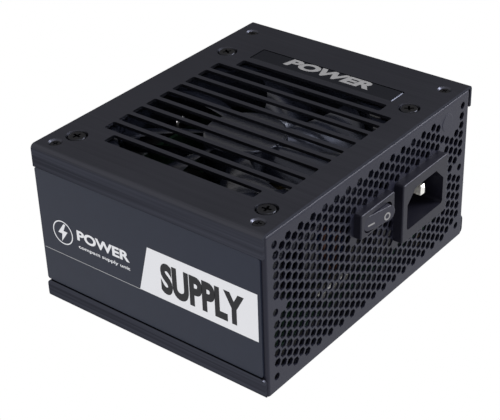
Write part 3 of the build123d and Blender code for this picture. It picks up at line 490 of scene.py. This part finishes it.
def rocker_marks(inks):
    """The dash and the ring on the two ends of the rocker's flat front."""
    joint = next(joint for joint in frame["joints"] if joint["name"] == "rocker_tilt")
    pivot = Vector(joint["pos_m"])
    pivot_depth = pivot.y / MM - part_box("switch_housing")[0].y / MM
    front = -(pivot_depth + rocker_proud) * math.cos(rocker_tilt)
    half_dash, half_line = mark_dash_length / 2, mark_line / 2
    dash = rectangle(-half_dash, -half_line, half_dash, half_line)
    ring = [circle((0, 0), mark_ring_outer, 48), circle((0, 0), mark_ring_outer - mark_line, 48)]
    for name, outlines, side in (("dash", [dash], -1), ("ring", ring, 1)):
        mesh = solid_from(outline_curve("rocker_" + name, outlines), print_thickness)
        facing = axes_matrix((side * mark_offset, front, mark_rise), (1, 0, 0), (0, 0, 1))
        place = Matrix.Translation(pivot) @ Matrix.Rotation(-rocker_tilt, 4, "Z") @ facing
        piece_from(f"rocker_{name}_mark", mesh, place, "rocker", inks["grey"])


# ---- windings -------------------------------------------------------------------------------
def signed_power(value, power):
    return math.copysign(abs(value) ** power, value)


def winding_path(outer, inner, height, turns, start, end):
    """Points of a wire wound round a ring core with rounded corners, in mm about its centre."""
    middle = (outer + inner) / 2
    across = (outer - inner) / 2
    points = []
    steps = turns * wire_points_per_turn
    for step in range(steps + 1):
        turn = 2 * math.pi * turns * step / steps
        heading = start + (end - start) * step / steps
        radius = middle + across * signed_power(math.cos(turn), winding_squareness)
        rise = height / 2 * signed_power(math.sin(turn), winding_squareness)
        points.append((radius * math.cos(heading), radius * math.sin(heading), rise))
    return points


def wire_mesh(name, paths, radius):
    """Round wires along smooth paths in mm, as one mesh."""
    curve = bpy.data.curves.new(name, "CURVE")
    curve.dimensions = "3D"
    curve.bevel_depth = radius * MM
    curve.bevel_resolution = 2
    curve.use_fill_caps = True
    for path in paths:
        spline = curve.splines.new("POLY")
        spline.points.add(len(path) - 1)
        for point, co in zip(spline.points, path):
            point.co = (*(Vector(co) * MM), 1)
    mesh = mesh_of(curve)
    for face in mesh.polygons:
        face.use_smooth = True
    return mesh


def choke_windings(materials):
    """Real turns of enamelled wire in place of the chokes' closed jackets."""
    wire = wire_radius
    beyond = wire + wire_clearance
    chokes = [  # centre, whether it stands upright, outer radius, inner radius, height
        ((-38, 11.8, 16.4), False, 12.4, 7.2, 12.0),
        ((33, -19.5, 20.4), True, 10.4, 6.2, 8.6),
        ((45.5, 11, 14.0), False, 9.6, 5.6, 9.0),
    ]
    paths = []
    for centre, upright, outer, inner, height in chokes:
        turn = Matrix.Rotation(math.radians(90), 4, "X") if upright else Matrix.Identity(4)
        place = Matrix.Translation(centre) @ turn
        turns = int(math.pi * (inner - wire) * winding_fill / (2 * wire))
        for half in (0, math.pi):
            path = winding_path(outer + beyond, inner - beyond, height + 2 * beyond,
                                turns, half + winding_gap, half + math.pi - winding_gap)
            paths.append([place @ Vector(point) for point in path])
    mesh = wire_mesh("choke_turns", paths, wire)
    place = Matrix.Identity(4)
    piece = piece_from("choke_turns", mesh, place, "case", materials["copper_wire"])
    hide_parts("choke_windings")


# ---- floor, lights and camera ---------------------------------------------------------------
def floor():
    mesh = bpy.data.meshes.new("floor")
    corners = [(x, y, 0) for x, y in rectangle(-floor_half, -floor_half, floor_half, floor_half)]
    mesh.from_pydata(corners, [], [(0, 1, 2, 3)])
    surface = Surface("floor", (0, 0, 0), 1.0, specular=0.0)
    surface.shader.inputs["Emission Color"].default_value = (1, 1, 1, 1)
    surface.shader.inputs["Emission Strength"].default_value = floor_glow
    mesh.materials.append(surface.material)
    piece = bpy.data.objects.new("floor", mesh)
    bpy.context.scene.collection.objects.link(piece)


def soft_light(name, azimuth, elevation, distance, size, power):
    """A softbox that looks at the object from an azimuth and an elevation."""
    light = bpy.data.lights.new(name, "AREA")
    light.shape = "RECTANGLE"
    light.size, light.size_y = size
    light.energy = power
    lamp = bpy.data.objects.new(name, light)
    bpy.context.scene.collection.objects.link(lamp)
    turn, rise = math.radians(azimuth), math.radians(elevation)
    back = Vector((math.sin(turn) * math.cos(rise), -math.cos(turn) * math.cos(rise), math.sin(rise)))
    lamp.location = Vector((0, 0, 0.03)) + back * distance
    lamp.rotation_mode = "QUATERNION"
    lamp.rotation_quaternion = back.to_track_quat("Z", "Y")


def studio_world():
    """White where the camera sees it; as a light it is warm, and dim low down at the back right."""
    world = bpy.data.worlds.new("studio")
    world.use_nodes = True
    tree = world.node_tree
    background = tree.nodes["Background"]
    coordinates = tree.nodes.new("ShaderNodeTexCoord")
    toward = tree.nodes.new("ShaderNodeVectorMath")
    toward.operation = "DOT_PRODUCT"
    toward.inputs[1].default_value = dim_direction
    tree.links.new(coordinates.outputs["Generated"], toward.inputs[0])
    glow = tree.nodes.new("ShaderNodeMapRange")
    glow.inputs["From Min"].default_value = dim_cosines[0]
    glow.inputs["From Max"].default_value = dim_cosines[1]
    glow.inputs["To Min"].default_value = sky_glow
    glow.inputs["To Max"].default_value = sky_glow_dim
    tree.links.new(toward.outputs["Value"], glow.inputs["Value"])
    ray = tree.nodes.new("ShaderNodeLightPath")
    seen = ray.outputs["Is Camera Ray"]
    strength = tree.nodes.new("ShaderNodeMix")
    strength.data_type = "FLOAT"
    strength.inputs["B"].default_value = 1.0
    tree.links.new(seen, strength.inputs["Factor"])
    tree.links.new(glow.outputs["Result"], strength.inputs["A"])
    tree.links.new(strength.outputs["Result"], background.inputs["Strength"])
    color = tree.nodes.new("ShaderNodeMixRGB")
    color.inputs["Color1"].default_value = (*sky_tint, 1)
    color.inputs["Color2"].default_value = (1, 1, 1, 1)
    tree.links.new(seen, color.inputs["Fac"])
    tree.links.new(color.outputs["Color"], background.inputs["Color"])
    bpy.context.scene.world = world


def lighting():
    studio_world()
    for name, values in softboxes.items():
        soft_light(name, *values)


def camera():
    back = Vector((math.sin(camera_azimuth) * math.cos(camera_elevation),
                   -math.cos(camera_azimuth) * math.cos(camera_elevation),
                   math.sin(camera_elevation)))
    level = Vector((0, 0, 1)).cross(back).normalized()
    upright = back.cross(level)
    right = math.cos(camera_roll) * level + math.sin(camera_roll) * upright
    up = math.cos(camera_roll) * upright - math.sin(camera_roll) * level
    middle = Vector((0, 0, case_high.z / 2))
    place = middle + back * camera_distance + right * camera_aim_right + up * camera_aim_up
    data = bpy.data.cameras.new("camera")
    data.lens = camera_lens
    data.sensor_width = 36
    data.clip_start = 0.01
    view = bpy.data.objects.new("camera", data)
    view.matrix_world = Matrix.Translation(place * MM) @ Matrix((right, up, back)).transposed().to_4x4()
    bpy.context.scene.collection.objects.link(view)
    bpy.context.scene.camera = view


def main():
    materials = make_materials()
    inks = {
        "white": ink("white_ink", (0.73, 0.75, 0.82)),
        "pale": ink("pale_ink", (0.42, 0.43, 0.47)),
        "dark": ink("dark_ink", (0.012, 0.013, 0.017), specular=0.2),
        "silver": plain_metal("silver_ink", (0.37, 0.38, 0.42), 0.45, marks=3000),
        "grey": ink("grey_ink", (0.18, 0.18, 0.19)),
    }
    dress_cad_nodes(materials)
    label_prints(inks)
    nameplate_print(inks)
    rocker_marks(inks)
    choke_windings(materials)
    floor()
    lighting()
    camera()
    bpy.context.scene.view_settings.view_transform = "Standard"


main()
